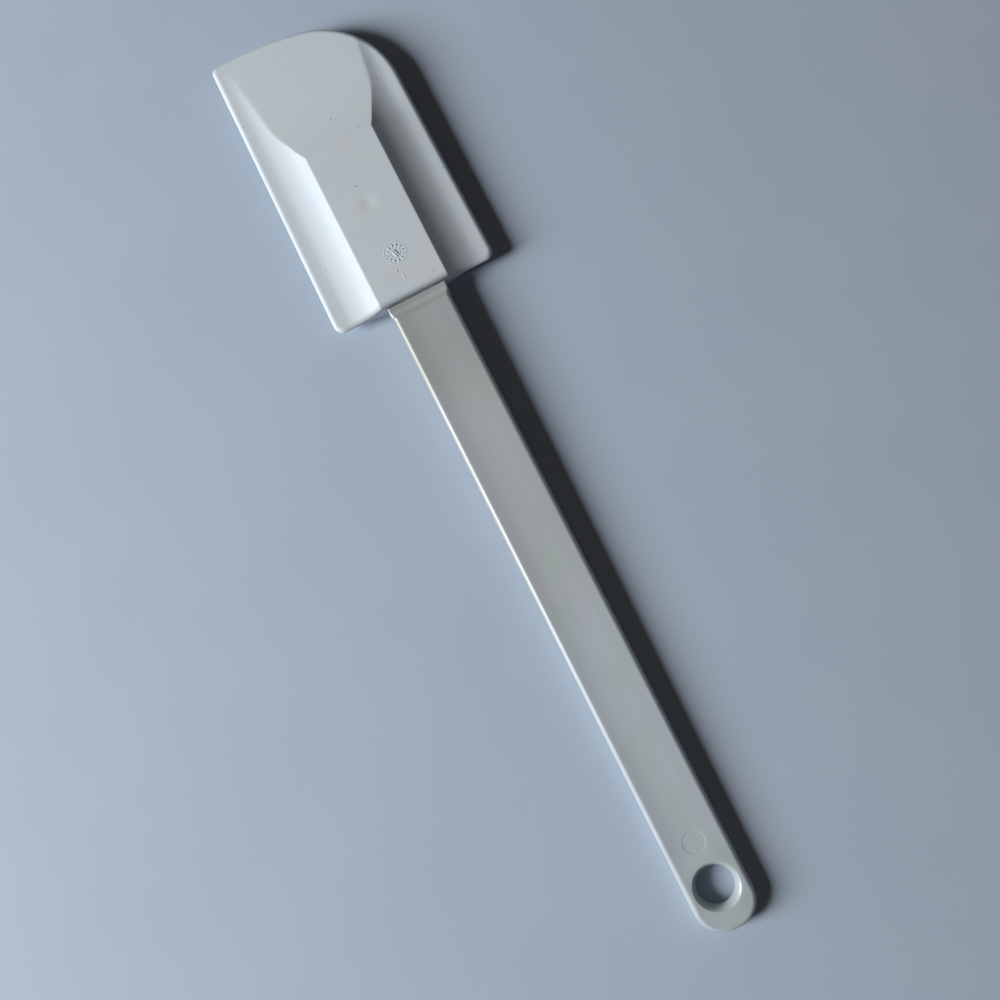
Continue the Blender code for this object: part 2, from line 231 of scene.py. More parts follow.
# Noise: the size of its features, how far they are drawn out along the handle, and how deep they are
HANDLE_TINT_SIZE = 9.0
HANDLE_TINT_STRETCH = 1.6
BLADE_TINT_SIZE = 13.0
NECK_BAND_BREAKUP_SIZE = 4.0
SMUDGE_SIZE = 3.5
RUB_SIZE = 12.0
SHEEN_SIZE = 6.0
STREAK_SIZE = 0.9
STREAK_STRETCH = 40.0
STREAK_DEPTH = 0.012
SCRATCH_SIZE = 0.28
SCRATCH_STRETCH = 70.0
SCRATCH_DEPTH = 0.004
GRAIN_SIZE = 0.45
GRAIN_DEPTH = 0.009
HANDLE_WAVE_SIZE = 11.0
HANDLE_WAVE_DEPTH = 0.05
BLADE_WAVE_SIZE = 9.0
BLADE_WAVE_DEPTH = 0.06
FLOOR_TONE_SIZE = 50.0
FLOOR_GRAIN_SIZE = 1.2
FLOOR_GRAIN_DEPTH = 0.03

# Dark specks: their spacing and radius, and the share of the radius that is darkest
HANDLE_SPECKS = (9.0, 0.22)
BLADE_SPECKS = (6.2, 0.3)
SPECK_CORE = 0.5

# Strength of the neck's bands and of the smudges, and how rough and how glossy the surfaces are
NECK_BAND_STRENGTH = (0.75, 1.0)
SMUDGE_STRENGTH = (0.0, 0.45)
HANDLE_ROUGHNESS = (0.38, 0.46)
SCRATCH_ROUGHNESS = 0.14
HANDLE_SPECULAR = 1.0
BLADE_ROUGHNESS = (0.5, 0.6)
BLADE_SPECULAR = 0.35
FLOOR_ROUGHNESS = 0.9


def direction(angle):
    """Unit vector at this angle from +X."""
    return np.array((math.cos(angle), math.sin(angle)))


def arc(centre, radius, start, end, step):
    """Points along an arc, as an array."""
    count = max(2, math.ceil(abs(end - start) / step - TINY))
    angles = np.linspace(start, end, count + 1)
    return np.asarray(centre) + radius * np.stack([np.cos(angles), np.sin(angles)], axis=1)


def circle(centre, radius, segments):
    angles = np.arange(segments) * 2 * math.pi / segments
    return np.asarray(centre) + radius * np.stack([np.cos(angles), np.sin(angles)], axis=1)


def capsule(start, end, radius):
    """Outline of a short line with round ends."""
    heading = math.atan2(end[1] - start[1], end[0] - start[0])
    right, left = heading - QUARTER_TURN, heading + QUARTER_TURN
    step = math.pi / MARK_STEPS
    far = arc(end, radius, right, left, step)
    near = arc(start, radius, left, left + math.pi, step)
    return np.concatenate([far, near])


def resampled(line, closed=False):
    """The line with points added so that none of its steps is longer than LINE_STEP."""
    starts, ends = segments_of(line, closed)
    runs = []
    for start, end in zip(starts, ends):
        count = max(1, math.ceil(np.linalg.norm(end - start) / LINE_STEP))
        shares = np.arange(count)[:, None] / count
        runs.append(start + shares * (end - start))
    if not closed:
        runs.append(line[-1:])
    return np.concatenate(runs)


def segments_of(line, closed=False):
    """Start and end points of the line's steps."""
    if closed:
        return line, np.roll(line, -1, axis=0)
    return line[:-1], line[1:]


def side_normals(line, closed=False):
    """Unit normals to the right of the line at each of its points."""
    starts, ends = segments_of(line, closed)
    steps = ends - starts
    steps = steps / np.linalg.norm(steps, axis=1)[:, None]
    if closed:
        before, after = np.roll(steps, 1, axis=0), steps
    else:
        before, after = np.concatenate([steps[:1], steps]), np.concatenate([steps, steps[-1:]])
    mean = before + after
    mean = mean / np.linalg.norm(mean, axis=1)[:, None]
    return np.stack([mean[:, 1], -mean[:, 0]], axis=1)


def distance_to(points, starts, ends):
    """Distance from each point to the nearest of the segments."""
    steps = ends - starts
    squared = np.maximum((steps ** 2).sum(axis=1), LEAST_SQUARED_LENGTH)
    nearest = np.full(len(points), np.inf)
    for start, step, length in zip(starts, steps, squared):
        offset = points - start
        share = np.clip(offset @ step / length, 0.0, 1.0)
        gap = offset - share[:, None] * step
        nearest = np.minimum(nearest, (gap ** 2).sum(axis=1))
    return np.sqrt(nearest)


def is_inside(points, loop):
    """Whether each point is inside the closed loop."""
    inside = np.zeros(len(points), bool)
    x, y = points[:, 0], points[:, 1]
    for (ax, ay), (bx, by) in zip(*segments_of(loop, True)):
        if ay != by:
            crosses = (ay > y) != (by > y)
            inside ^= crosses & (x < ax + (y - ay) * (bx - ax) / (by - ay))
    return inside


def depth_inside(points, loop):
    """Distance in from the closed loop, and 0 outside it."""
    depth = distance_to(points, *segments_of(loop, True))
    return np.where(is_inside(points, loop), depth, 0.0)


def hex_grid(outline, spacing):
    """Points in staggered rows over the outline's box."""
    low, high = outline.min(axis=0), outline.max(axis=0)
    rows = []
    for k, y in enumerate(np.arange(low[1], high[1], spacing * math.sqrt(3) / 2)):
        x = np.arange(low[0] + spacing / 2 * (k % 2), high[0], spacing)
        rows.append(np.stack([x, np.full(len(x), y)], axis=1))
    return np.concatenate(rows)


def free_grid(outline, chains, spacing):
    """Grid points inside the outline and clear of every chain."""
    starts = np.concatenate([segments_of(*chain)[0] for chain in chains])
    ends = np.concatenate([segments_of(*chain)[1] for chain in chains])
    grid = hex_grid(outline, spacing)
    grid = grid[is_inside(grid, outline)]
    return grid[distance_to(grid, starts, ends) > GRID_CLEARANCE * spacing]


def chained(chains):
    """All points of the chains, and the edges that join each chain's neighbours by number."""
    points = []
    edges = []
    for chain, closed in chains:
        first = len(points)
        points += [Vector(point) for point in chain]
        edges += [(k, k + 1) for k in range(first, len(points) - 1)]
        if closed:
            edges.append((len(points) - 1, first))
    return points, edges


def plan(outline, holes, loops, lines, spacing):
    """Points and triangles over the outline, less its holes, whose edges follow every loop and line."""
    chains = [(resampled(loop, True), True) for loop in [outline, *holes, *loops]]
    chains += [(resampled(line), False) for line in lines]
    points, edges = chained(chains)
    points += [Vector(point) for point in free_grid(outline, chains, spacing)]
    whole = [list(range(len(chains[0][0])))]
    within_outline = 1
    result = delaunay_2d_cdt(points, edges, whole, within_outline, PLAN_TOLERANCE)
    found = np.array([tuple(point) for point in result[0]])
    triangles = np.array(result[2])
    middles = found[triangles].mean(axis=1)
    kept = is_inside(middles, outline)
    for hole in holes:
        kept &= ~is_inside(middles, hole)
    return found, triangles[kept]


def rim_edges(triangles):
    """Edges that only one triangle has, in that triangle's own direction."""
    edges = np.concatenate([triangles[:, [0, 1]], triangles[:, [1, 2]], triangles[:, [2, 0]]])
    _, first, count = np.unique(np.sort(edges, axis=1), axis=0, return_index=True, return_counts=True)
    return edges[first[count == 1]]


def rim_normals(points, edges):
    """Unit normals that point out of the plan at the rim's points, and zero elsewhere."""
    steps = points[edges[:, 1]] - points[edges[:, 0]]
    normals = np.stack([steps[:, 1], -steps[:, 0]], axis=1)
    normals = normals / np.linalg.norm(normals, axis=1)[:, None]
    total = np.zeros_like(points)
    np.add.at(total, edges[:, 0], normals)
    np.add.at(total, edges[:, 1], normals)
    lengths = np.linalg.norm(total, axis=1)
    return total / np.where(lengths > 0, lengths, 1.0)[:, None]


def relief(name, points, triangles, top, bottom, ridge):
    """A closed mesh from a plan, lifted to its two faces' heights, with a parting ridge round its walls."""
    edges = rim_edges(triangles)
    outward = rim_normals(points, edges)
    reach = np.minimum(RIDGE_HALF_WIDTH, RIDGE_SHARE_OF_WALL * np.minimum(top, -bottom))
    crest = points + ridge * outward
    levels = [
        np.column_stack([points, top]),
        np.column_stack([points, reach]),
        np.column_stack([crest, RIDGE_CREST_SHARE * reach]),
        np.column_stack([crest, -RIDGE_CREST_SHARE * reach]),
        np.column_stack([points, -reach]),
        np.column_stack([points, bottom]),
    ]
    count = len(points)
    under = count * (len(levels) - 1)
    faces = triangles.tolist() + (triangles[:, ::-1] + under).tolist()
    for level in range(len(levels) - 1):
        over_a, over_b = edges[:, 0] + level * count, edges[:, 1] + level * count
        faces += np.stack([over_b, over_a, over_a + count, over_b + count], axis=1).tolist()
    mesh = bpy.data.meshes.new(name)
    mesh.from_pydata(np.concatenate(levels).tolist(), [], faces)
    remove_loose(mesh)
    return mesh


def remove_loose(mesh):
    """Delete the points that no face uses."""
    bm = bmesh.new()
    bm.from_mesh(mesh)
    loose = [vert for vert in bm.verts if not vert.link_faces]
    bmesh.ops.delete(bm, geom=loose, context="VERTS")
    bm.to_mesh(mesh)
    bm.free()


def smooth(share):
    """A share from 0 to 1 that starts and ends gently."""
    return share ** 2 * (3 - 2 * share)


def soft_min(a, b, softness):
    """The lower of two heights, blended where they are within softness of each other."""
    share = np.maximum(softness - np.abs(a - b), 0.0) / softness
    return np.minimum(a, b) - share ** 2 * softness / 4


def roll_reach(height, radius):
    """How far in from the edge its rounding reaches: on a thin part it stops at a small wall."""
    drop = np.clip(height - EDGE_WALL, 0.0, radius)
    return np.sqrt(radius ** 2 - (radius - drop) ** 2)


def rolled(height, radius, depth):
    """Height of a face whose edge is rounded with this radius, depth in from the edge."""
    inner = np.clip(roll_reach(height, radius) - depth, 0.0, radius)
    return height - radius + np.sqrt(np.maximum(radius ** 2 - inner ** 2, 0.0))


def edge_rings(line, closed, height, radius):
    """Lines beside the edge, one at each step of its rounding and one just inside it."""
    normals = side_normals(line, closed)
    reach = roll_reach(height, radius)
    whole_turn = np.arcsin(reach / radius)
    insets = [reach + GUARD_WIDTH]
    insets += [reach - radius * np.sin(whole_turn * k / EDGE_STEPS) for k in range(EDGE_STEPS)]
    return [line - inset[:, None] * normals for inset in insets]


def mirrored(line):
    """The line's mirror image across the centre line, run the other way."""
    return line[::-1] * (1, -1)


def flare(x, length):
    """Share, smooth from 0 to 1, of a change in the handle's edge that takes this length near the neck."""
    return smooth(np.clip((x - FLARE_START_X) / length, 0.0, 1.0))


def lower_edge():
    """The exposed handle's edge on its -Y side, from the free end to the neck, at the foot of its ridge."""
    end_centre = (HANDLE_END_RADIUS, HANDLE_END_RADIUS - HANDLE_HALF_WIDTH)
    x = np.linspace(FLARE_START_X, NECK_END_X, FLARE_STEPS + 1)
    half_width = HANDLE_HALF_WIDTH - HANDLE_RIDGE + FLARE_GROWTH * flare(x, FLARE_STEP_LENGTH)
    return np.concatenate([
        arc(end_centre, HANDLE_END_RADIUS - HANDLE_RIDGE, -math.pi, -QUARTER_TURN, ARC_STEP),
        np.stack([x, -half_width], axis=1),
    ])


def grip_line():
    """The exposed handle's edge from one side of the neck round the free end to the other."""
    return np.concatenate([mirrored(lower_edge()), lower_edge()])


def grip_edge_radius(x):
    return HANDLE_EDGE_RADIUS + (FLARE_EDGE_RADIUS - HANDLE_EDGE_RADIUS) * flare(x, FLARE_EDGE_LENGTH)


def handle_outline():
    """Grip and tang from above as one loop, drawn at the foot of their ridge."""
    tang_y = TANG_HALF_WIDTH - HANDLE_RIDGE
    tang = np.array((
        (NECK_END_X, -tang_y),
        (NECK_END_X + STEP_WIDTH, -tang_y),
        (TANG_END_X - TANG_NOSE_LENGTH, -tang_y),
        (TANG_END_X, TANG_NOSE_TAPER - tang_y),
    ))
    lower = np.concatenate([lower_edge(), tang])
    return np.concatenate([lower, mirrored(lower)])


def from_hole(points):
    return np.linalg.norm(points - (HOLE_X, 0.0), axis=1)


def hole_height(radius):
    """Half thickness that the hole's curved wall leaves at this distance from the hole's centre."""
    inner = np.clip(HOLE_RADIUS + HOLE_WALL_CURVE - radius, 0.0, HOLE_WALL_CURVE)
    return np.sqrt(HOLE_WALL_CURVE ** 2 - inner ** 2)


def hole_wall_radius(height):
    """Distance from the hole's centre at which its wall has this half thickness."""
    return HOLE_RADIUS + HOLE_WALL_CURVE - math.sqrt(HOLE_WALL_CURVE ** 2 - height ** 2)


def grip_height(points):
    """Half thickness of the exposed handle, dished between its rounded edges and flat round the hole."""
    depth = distance_to(points, *segments_of(grip_line()))
    share = np.clip(depth / HANDLE_HALF_WIDTH, 0.0, 1.0)
    hole_edge = hole_wall_radius(HANDLE_HALF_THICKNESS)
    clear = np.clip((from_hole(points) - hole_edge) / HOLE_LAND_WIDTH, 0.0, 1.0)
    face = HANDLE_HALF_THICKNESS - HANDLE_DISH * smooth(clear) * (1 - (1 - share) ** 2)
    face -= np.clip(NECK_END_CHAMFER - (NECK_END_X - points[:, 0]), 0.0, NECK_END_CHAMFER)
    return rolled(face, grip_edge_radius(points[:, 0]), depth)


def tang_height(points):
    x, y = points.T
    along = np.clip((x - TANG_END_X + TANG_NOSE_LENGTH) / TANG_NOSE_LENGTH, 0.0, 1.0)
    half_width = TANG_HALF_WIDTH - HANDLE_RIDGE - TANG_NOSE_TAPER * along
    depth = np.maximum(half_width - np.abs(y), 0.0)
    face = TANG_HALF_THICKNESS - TANG_NOSE_TAPER / 2 * along
    return rolled(face, TANG_EDGE_RADIUS, depth)


def handle_face(points):
    """Half thickness of the whole handle without its marks."""
    exposed = points[:, 0] <= NECK_END_X + TINY
    height = np.where(exposed, grip_height(points), tang_height(points))
    return soft_min(height, hole_height(from_hole(points)), HOLE_EDGE_SOFTNESS)


def pin_mark_sink(points):
    """How far the ejector pin's round mark is sunk at each point."""
    from_centre = np.linalg.norm(points - PIN_MARK_PLACE, axis=1)
    share = np.clip((PIN_MARK_RADIUS + PIN_MARK_WALL / 2 - from_centre) / PIN_MARK_WALL, 0.0, 1.0)
    return PIN_MARK_DEPTH * share


def guarded(wall):
    """Offsets from the middle of a wall to its foot and its crest, and to a guard line beside each."""
    return (-wall / 2 - GUARD_WIDTH, -wall / 2, wall / 2, wall / 2 + GUARD_WIDTH)


def handle_loops():
    """Closed lines of the handle's plan: down the hole's wall from its edge, and round the pin mark."""
    edge = hole_wall_radius(HANDLE_HALF_THICKNESS)
    heights = HANDLE_HALF_THICKNESS * np.sin(np.linspace(0.0, QUARTER_TURN, HOLE_WALL_STEPS + 1))
    radii = [hole_wall_radius(height) for height in heights if height > EDGE_WALL]
    radii += [edge + offset for offset in HOLE_EDGE_OFFSETS]
    loops = [circle((HOLE_X, 0.0), radius, CIRCLE_SEGMENTS) for radius in radii]
    for offset in guarded(PIN_MARK_WALL):
        loops.append(circle(PIN_MARK_PLACE, PIN_MARK_RADIUS + offset, CIRCLE_SEGMENTS))
    return loops


def handle_lines():
    """Open lines of the handle's plan along its rounded edges and across the neck."""
    grip = resampled(grip_line())
    lines = edge_rings(grip, False, HANDLE_HALF_THICKNESS, grip_edge_radius(grip[:, 0]))
    nose_x = TANG_END_X - TANG_NOSE_LENGTH
    tang_y = TANG_HALF_WIDTH - HANDLE_RIDGE
    tang_side = ((NECK_END_X, -tang_y), (nose_x, -tang_y), (TANG_END_X, TANG_NOSE_TAPER - tang_y))
    tang = resampled(np.array(tang_side))
    rings = edge_rings(tang, False, TANG_HALF_THICKNESS, np.full(len(tang), TANG_EDGE_RADIUS))
    lines += rings + [ring * (1, -1) for ring in rings]
    for x in (NECK_END_X - NECK_END_CHAMFER, NECK_END_X, NECK_END_X + STEP_WIDTH, nose_x):
        lines.append(np.array(((x, -HANDLE_HALF_WIDTH), (x, HANDLE_HALF_WIDTH))))
    return lines


def handle_mesh():
    throat = circle((HOLE_X, 0.0), hole_wall_radius(EDGE_WALL), CIRCLE_SEGMENTS)
    points, triangles = plan(handle_outline(), [throat], handle_loops(), handle_lines(), HANDLE_SPACING)
    face = handle_face(points)
    top = face - pin_mark_sink(points)
    return relief("handle_moulding", points, triangles, top, -face, HANDLE_RIDGE)


def blade_outline():
    """The blade from above, drawn at the foot of its ridge: two round back corners, a swept tip and
    one square tip corner. Every angle is that of an outward normal."""
    right_angle = BLADE_SIDE_TAPER - QUARTER_TURN
    left_angle = -right_angle
    right_normal = direction(right_angle)
    left_normal = direction(left_angle)
    turn_normal = direction(-TIP_CURVE_TURN)
    side_offset = left_normal @ (BLADE_START, BLADE_END_HALF_WIDTH)
    tip_centre = np.array((LENGTH - TIP_CURVE_RADIUS, TIP_CURVE_TOP_Y))

    # The sweep touches the -Y side and meets the tip's curve without a corner
    across = right_normal @ turn_normal
    sweep_radius = (side_offset - right_normal @ tip_centre - TIP_CURVE_RADIUS * across) / (1 - across)
    sweep_centre = tip_centre + (TIP_CURVE_RADIUS - sweep_radius) * turn_normal

    # The square corner's small arc touches the tip's curve and the +Y side
    spare = side_offset - TIP_SQUARE_CORNER_RADIUS - left_normal @ tip_centre
    from_centre = TIP_CURVE_RADIUS - TIP_SQUARE_CORNER_RADIUS
    corner_angle = left_angle - math.acos(spare / from_centre)
    corner_centre = tip_centre + from_centre * direction(corner_angle)

    # Each back corner's arc touches a side and the straight back edge
    back_x = BLADE_START + BLADE_END_CORNER_RADIUS
    back_y = (side_offset - BLADE_END_CORNER_RADIUS - left_normal[0] * back_x) / left_normal[1]
    back_radius = BLADE_END_CORNER_RADIUS - BLADE_RIDGE
    tip_radius = TIP_CURVE_RADIUS - BLADE_RIDGE
    square_radius = TIP_SQUARE_CORNER_RADIUS - BLADE_RIDGE
    return np.concatenate([
        arc((back_x, -back_y), back_radius, -math.pi, right_angle, SMALL_ARC_STEP),
        arc(sweep_centre, sweep_radius - BLADE_RIDGE, right_angle, -TIP_CURVE_TURN, ARC_STEP),
        arc(tip_centre, tip_radius, -TIP_CURVE_TURN, corner_angle, LARGE_ARC_STEP)[1:],
        arc(corner_centre, square_radius, corner_angle, left_angle, SMALL_ARC_STEP)[1:],
        arc((back_x, back_y), back_radius, left_angle, math.pi, SMALL_ARC_STEP),
    ])


def cove_height(y):
    """Half thickness of the cove at these places: arcs that steepen from its foot, then a straight face."""
    inward = np.maximum(COVE_FOOT_Y - np.abs(y), 0.0)
    height = np.full_like(inward, WING_HALF_THICKNESS)
    start = 0.0
    start_sine = 0.0
    for radius, turn in COVE_ARCS:
        width = radius * (math.sin(turn) - start_sine)
        sine = start_sine + np.clip(inward - start, 0.0, width) / radius
        height += radius * (math.sqrt(1 - start_sine ** 2) - np.sqrt(1 - sine ** 2))
        start += width
        start_sine = math.sin(turn)
    return height + math.tan(turn) * np.maximum(inward - start, 0.0)


def ramp_height(x):
    """Half thickness of the scooped ramp, which runs on straight past both of its ends."""
    along = x - RAMP_START
    scoop = RAMP_RADIUS * (math.sin(RAMP_STEEPEST) - math.sin(RAMP_TIP_SLOPE))
    on_scoop = np.clip(along, 0.0, scoop)
    sine = math.sin(RAMP_STEEPEST) - on_scoop / RAMP_RADIUS
    drop = RAMP_RADIUS * (np.sqrt(1 - sine ** 2) - math.cos(RAMP_STEEPEST))
    before = math.tan(RAMP_STEEPEST) * np.minimum(along, 0.0)
    after = math.tan(RAMP_TIP_SLOPE) * np.maximum(along - scoop, 0.0)
    return CORE_HALF_THICKNESS - before - drop - after


def base_height(points):
    """Half thickness of the blade without its rounded outer edge."""
    x, y = points.T
    core = soft_min(np.full(len(x), CORE_HALF_THICKNESS), ramp_height(x), CREASE_SOFTNESS)
    return soft_min(core, cove_height(y), CREASE_SOFTNESS)


def blade_face(points):
    """Half thickness of the finished blade without its marks."""
    return rolled(base_height(points), BLADE_EDGE_RADIUS, depth_inside(points, blade_outline()))


def crease_line(x):
    """Where the core or the ramp meets the cove on the +Y side, as points at these places along X."""
    height = np.minimum(CORE_HALF_THICKNESS, ramp_height(x))
    y = np.linspace(COVE_FOOT_Y, 0.0, CREASE_TABLE_STEPS)
    return np.stack([x, np.interp(height, cove_height(y), y)], axis=1)


def blade_rings():
    """Loops round the blade's rim, one at each step of its rounded edge."""
    loop = resampled(blade_outline(), True)
    inside = loop - BLADE_EDGE_RADIUS * side_normals(loop, True)
    return edge_rings(loop, True, base_height(inside), np.full(len(loop), BLADE_EDGE_RADIUS))


def date_mark_strokes():
    """Centre lines of the date mark's twelve ticks and its double pointer, each with its height."""
    centre = np.array(DATE_MARK_PLACE)
    strokes = []
    for k in range(DATE_TICK_COUNT):
        ray = direction(2 * math.pi * k / DATE_TICK_COUNT)
        strokes.append((centre + DATE_TICK_INNER * ray, centre + DATE_TICK_OUTER * ray, DATE_TICK_RELIEF))
    ray = direction(DATE_POINTER_TURN)
    reach = DATE_POINTER_HALF_LENGTH * ray
    for side in (-1, 1):
        middle = centre + side * DATE_POINTER_HALF_GAP * np.array((-ray[1], ray[0]))
        strokes.append((middle - reach, middle + reach, DATE_POINTER_RELIEF))
    return strokes


def mark_strokes():
    """Centre lines of every raised stroke on the blade's upper face, each with its height."""
    dot = np.array(DOT_PLACE)
    return [
        *date_mark_strokes(),
        (dot, dot + (TINY, 0.0), DOT_RELIEF),
        (*np.array(SLASH_ENDS), SLASH_RELIEF),
    ]


def line_height(from_middle, relief_height):
    """Height of a raised line at this distance from its middle."""
    share = (MARK_LINE_HALF_WIDTH + MARK_WALL / 2 - from_middle) / MARK_WALL
    return relief_height * np.clip(share, 0.0, 1.0)


def mark_height(points):
    """How far the marks stand up from the blade's upper face at each point."""
    from_centre = np.linalg.norm(points - DATE_MARK_PLACE, axis=1)
    height = line_height(np.abs(from_centre - DATE_RING_RADIUS), DATE_RING_RELIEF)
    height = np.maximum(height, line_height(np.abs(from_centre - DATE_DISC_RADIUS), DATE_DISC_RELIEF))
    for start, end, relief_height in mark_strokes():
        from_stroke = distance_to(points, np.array([start]), np.array([end]))
        height = np.maximum(height, line_height(from_stroke, relief_height))
    return height


def mark_loops():
    """Loops round the foot and the crest of every raised line, and a guard loop beside each."""
    loops = []
    for offset in guarded(MARK_WALL):
        half_width = MARK_LINE_HALF_WIDTH + offset
        if half_width > 0:
            loops += [capsule(start, end, half_width) for start, end, _ in mark_strokes()]
            for radius in (DATE_DISC_RADIUS, DATE_RING_RADIUS):
                loops.append(circle(DATE_MARK_PLACE, radius - half_width, MARK_SEGMENTS))
                loops.append(circle(DATE_MARK_PLACE, radius + half_width, MARK_SEGMENTS))
    return loops


def sink_depth(points):
    from_centre = np.linalg.norm(points - SINK_PLACE, axis=1)
    return SINK_DEPTH * np.exp(-(from_centre / SINK_RADIUS) ** 2)


def blade_lines():
    """Open lines of the blade's plan beside its creases."""
    lines = []
    past_tip = LENGTH + BLADE_EDGE_RADIUS
    along = np.concatenate([
        np.arange(BLADE_START, RAMP_START, LINE_STEP),
        np.arange(RAMP_START, past_tip, LINE_STEP),
    ])
    crease = crease_line(along)
    normals = side_normals(crease)
    for offset in CREASE_OFFSETS:
        shifted = crease + offset * normals
        lines += [shifted, shifted * (1, -1)]
        x = RAMP_START + offset
        half = crease_line(np.array([x]))[0, 1]
        lines.append(np.array(((x, -half), (x, half))))
    return lines


def blade_mesh():
    loops = blade_rings() + mark_loops()
    points, triangles = plan(blade_outline(), [], loops, blade_lines(), BLADE_SPACING)
    face = blade_face(points)
    top = face + mark_height(points) - sink_depth(points)
    return relief("blade_moulding", points, triangles, top, -face, BLADE_RIDGE)


def socket_mesh():
    """The blade's blind socket as a bar along X with rounded long edges."""
    half_width = TANG_HALF_WIDTH + FIT_GAP
    half_height = TANG_HALF_THICKNESS + FIT_GAP
    section = []
    for quarter in range(4):
        start, end = QUARTER_TURN * quarter, QUARTER_TURN * (quarter + 1)
        middle = (start + end) / 2
        centre = (
            math.copysign(half_width - TANG_EDGE_RADIUS, math.cos(middle)),
            math.copysign(half_height - TANG_EDGE_RADIUS, math.sin(middle)),
        )
        section.append(arc(centre, TANG_EDGE_RADIUS, start, end, SMALL_ARC_STEP))
    section = np.concatenate(section)
    count = len(section)
    verts = []
    for x in (BLADE_START - SOCKET_MOUTH_MARGIN, SOCKET_END_X):
        verts += np.column_stack([np.full(count, x), section]).tolist()
    faces = [(k, (k + 1) % count, (k + 1) % count + count, k + count) for k in range(count)]
    faces += [tuple(reversed(range(count))), tuple(range(count, 2 * count))]
    mesh = bpy.data.meshes.new("socket_form")
    mesh.from_pydata(verts, [], faces)
    return mesh


def add_piece(mesh):
    piece = bpy.data.objects.new(mesh.name, mesh)
    bpy.context.scene.collection.objects.link(piece)
    return piece


def cut(piece, cutter):
    """Cut the cutter out of the piece for good, and remove the cutter."""
    modifier = piece.modifiers.new(cutter.name, "BOOLEAN")
    modifier.operation = "DIFFERENCE"
    modifier.solver = "EXACT"
    modifier.object = cutter
    graph = bpy.context.evaluated_depsgraph_get()
    mesh = bpy.data.meshes.new_from_object(piece.evaluated_get(graph))
    piece.modifiers.clear()
    whole = piece.data
    piece.data = mesh
    name = whole.name
    bpy.data.meshes.remove(whole)
    mesh.name = name
    bpy.data.objects.remove(cutter)


def lie_matrix():
    """From the spatula's own frame in millimetres to the table in metres."""
    end_contact_x = HANDLE_EDGE_RADIUS
    core_contact_x = BLADE_START + BLADE_EDGE_RADIUS
    rise = CORE_HALF_THICKNESS - HANDLE_HALF_THICKNESS
    tilt = math.atan(rise / (core_contact_x - end_contact_x))
    lift = HANDLE_HALF_THICKNESS * math.cos(tilt) - end_contact_x * math.sin(tilt)
    place = Vector((-LENGTH / 2 * math.cos(tilt), 0.0, lift)) * MM
    return Matrix.Translation(place) @ Matrix.Rotation(-tilt, 4, "Y") @ Matrix.Scale(MM, 4)


def finish_piece(piece, material, body):
    """Lay the piece on the table, shade it and tie it to the CAD model."""
    piece.data.transform(lie_matrix())
    piece.data.shade_smooth()
    piece.data.set_sharp_from_angle(angle=SHARP_ANGLE)
    piece.data.materials.clear()
    piece.data.materials.append(material)
    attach(piece, body)
    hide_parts(body)


